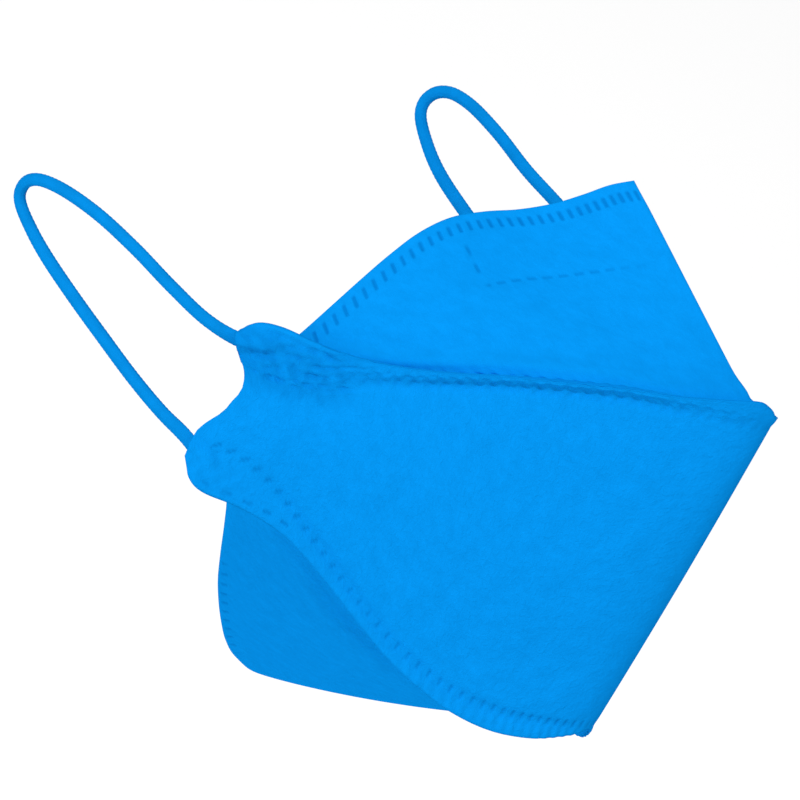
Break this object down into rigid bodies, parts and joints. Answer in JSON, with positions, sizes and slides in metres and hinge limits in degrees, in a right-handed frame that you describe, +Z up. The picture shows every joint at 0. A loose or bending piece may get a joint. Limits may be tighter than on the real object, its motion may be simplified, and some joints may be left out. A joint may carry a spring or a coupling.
{
  "type": "disposable respirator",
  "caption": "Folding three-panel filtering face mask opened to its worn shape, with fish-tail side tabs and elastic ear loops.",
  "frame": {"origin": "inside of the nose crease at the middle of the upper panel's free edge, where it rests on the bridge of the nose", "axes": "+Z up as worn, -Y to the front of the face, +X across the face to the side of ear_loop_left"},
  "size_m": [0.1312, 0.1412, 0.1422],
  "materials": {
    "nonwoven": "matte nonwoven with embossed weld ticks",
    "elastic": "matte knitted elastic"
  },
  "bodies": {
    "root": {"middle_panel": "nonwoven", "upper_panel": "nonwoven", "chin_panel": "nonwoven", "ear_loop_left": "elastic", "ear_loop_right": "elastic"}
  },
  "joints": []
}
